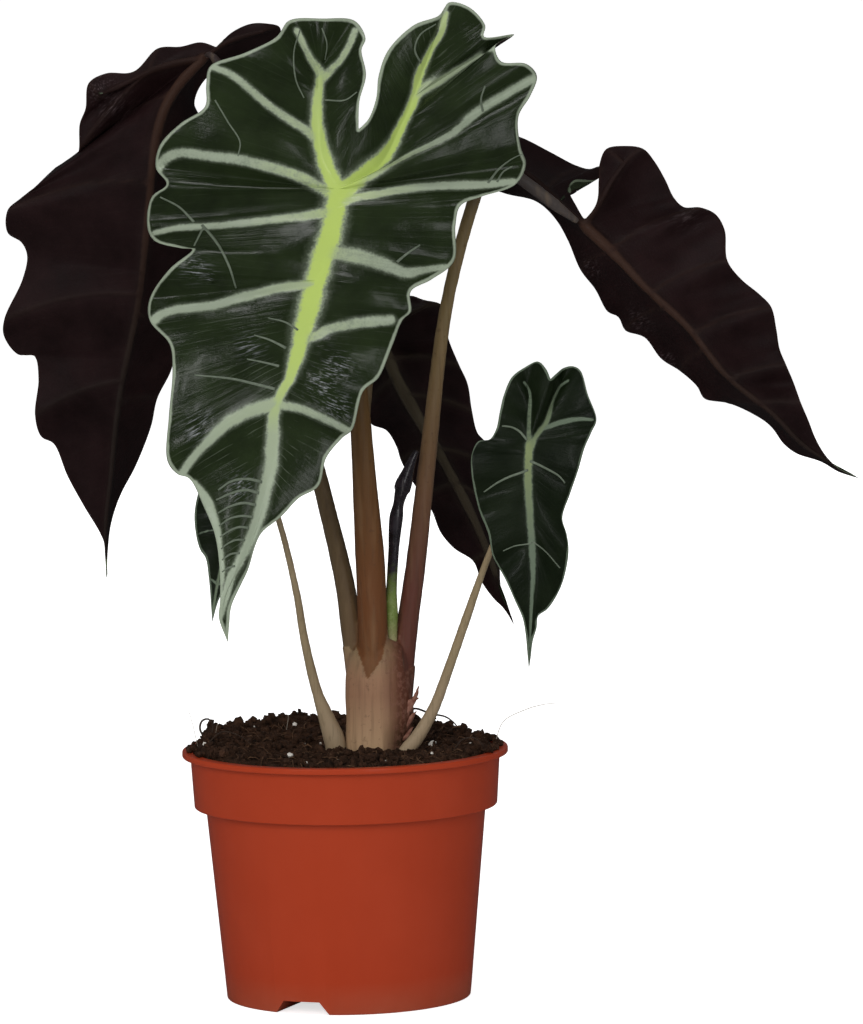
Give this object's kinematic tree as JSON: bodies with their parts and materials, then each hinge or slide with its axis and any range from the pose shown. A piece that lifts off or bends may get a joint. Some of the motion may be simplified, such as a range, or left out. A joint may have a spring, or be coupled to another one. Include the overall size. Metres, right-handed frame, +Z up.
{
  "type": "potted alocasia",
  "caption": "Small alocasia with scalloped, pale-ribbed arrowhead leaves on long stalks, rooted in peat soil in a round terracotta-coloured plastic nursery pot.",
  "frame": {"origin": "middle of the pot's base, on the surface it stands on", "axes": "+Z up along the pot's axis; +X to the right and +Y away from someone who faces the largest leaf"},
  "size_m": [0.3192, 0.1516, 0.3651],
  "materials": {
    "pot_terracotta_plastic": "satin",
    "peat_soil": "matte",
    "stalk_brown": "satin",
    "offset_stalk_olive": "satin",
    "leaf_upper_green": "gloss",
    "leaf_beneath_maroon": "satin",
    "new_leaf_dark": "gloss"
  },
  "bodies": {
    "root": {"pot": "pot_terracotta_plastic", "soil": "peat_soil", "main_stem": "stalk_brown", "new_leaf_rolled": "new_leaf_dark", "offset_stem_left": "offset_stalk_olive", "offset_stem_right": "offset_stalk_olive", "leaf_blade_front": "leaf_upper_green", "leaf_blade_left": "leaf_beneath_maroon", "leaf_blade_right": "leaf_beneath_maroon", "leaf_blade_back": "leaf_beneath_maroon", "leaf_blade_small_left": "leaf_upper_green", "leaf_blade_small_right": "leaf_upper_green"}
  },
  "joints": []
}
